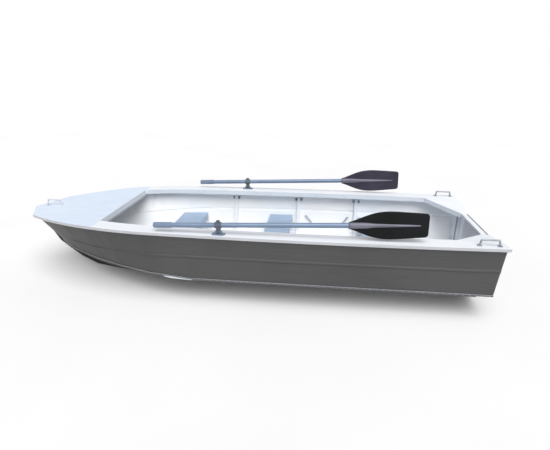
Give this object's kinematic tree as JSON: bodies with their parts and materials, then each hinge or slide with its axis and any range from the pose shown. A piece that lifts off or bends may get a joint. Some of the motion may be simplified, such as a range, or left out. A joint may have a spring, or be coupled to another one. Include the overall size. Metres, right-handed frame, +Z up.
{
  "type": "aluminium rowing boat",
  "caption": "Open aluminium rowing boat with fore deck, side decks, bench seats, stern motor place, grab handles and stowed oars in rocking rowlocks.",
  "frame": {"origin": "on the floor under the middle of the boat's overall box", "axes": "+X to the bow, +Y to port, +Z up"},
  "size_m": [3.7, 1.326, 0.8201],
  "materials": {
    "hull_plate": "satin",
    "deck_plate": "satin",
    "bright_trim": "satin",
    "frame_metal": "satin",
    "seat_paint": "satin",
    "motor_pad": "matte",
    "rowlock_steel": "satin",
    "handle_metal": "polished",
    "oar_tube": "satin",
    "oar_plastic": "satin"
  },
  "bodies": {
    "hull": {"aft_deck_port": "deck_plate", "aft_deck_starboard": "deck_plate", "bottom_port": "hull_plate", "bottom_starboard": "hull_plate", "bow_handle": "handle_metal", "brackets_port": "frame_metal", "brackets_starboard": "frame_metal", "chine_rail_port": "bright_trim", "chine_rail_starboard": "bright_trim", "chocks_port": "seat_paint", "chocks_starboard": "seat_paint", "fore_deck": "deck_plate", "frame_aft": "frame_metal", "frame_fore": "frame_metal", "frame_middle": "frame_metal", "inner_motor_pad": "motor_pad", "keel": "hull_plate", "motor_cap": "deck_plate", "outer_motor_pad": "motor_pad", "rowlock_base_port": "rowlock_steel", "rowlock_base_starboard": "rowlock_steel", "rowlock_pin_port": "rowlock_steel", "rowlock_pin_starboard": "rowlock_steel", "runner_port": "bright_trim", "runner_starboard": "bright_trim", "side_deck_port": "deck_plate", "side_deck_starboard": "deck_plate", "side_port": "hull_plate", "side_starboard": "hull_plate", "stern_handle_port": "handle_metal", "stern_handle_starboard": "handle_metal", "thwart_aft": "seat_paint", "thwart_fore": "seat_paint", "thwart_middle": "seat_paint", "transom": "hull_plate", "transom_post_port": "frame_metal", "transom_post_starboard": "frame_metal"},
    "rowlock_port": {"rowlock_yoke_port": "rowlock_steel"},
    "oar_port": {"oar_blade_port": "oar_plastic", "oar_collar_port": "rowlock_steel", "oar_grip_port": "oar_plastic", "oar_shaft_port": "oar_tube"},
    "rowlock_starboard": {"rowlock_yoke_starboard": "rowlock_steel"},
    "oar_starboard": {"oar_blade_starboard": "oar_plastic", "oar_collar_starboard": "rowlock_steel", "oar_grip_starboard": "oar_plastic", "oar_shaft_starboard": "oar_tube"}
  },
  "joints": [
    {"name": "rowlock_rock_port", "type": "hinge", "parent": "hull", "child": "rowlock_port", "pos_m": [0.08325, 0.61145, 0.62], "axis": [-1, 0, 0], "range_deg": [-15, 20]},
    {"name": "oar_swing_port", "type": "hinge", "parent": "rowlock_port", "child": "oar_port", "pos_m": [0.08325, 0.61145, 0.646], "axis": [0, 0, -1], "range_deg": [0, 130]},
    {"name": "rowlock_rock_starboard", "type": "hinge", "parent": "hull", "child": "rowlock_starboard", "pos_m": [0.08325, -0.61145, 0.62], "axis": [1, 0, 0], "range_deg": [-15, 20]},
    {"name": "oar_swing_starboard", "type": "hinge", "parent": "rowlock_starboard", "child": "oar_starboard", "pos_m": [0.08325, -0.61145, 0.646], "axis": [0, 0, 1], "range_deg": [0, 130]}
  ]
}
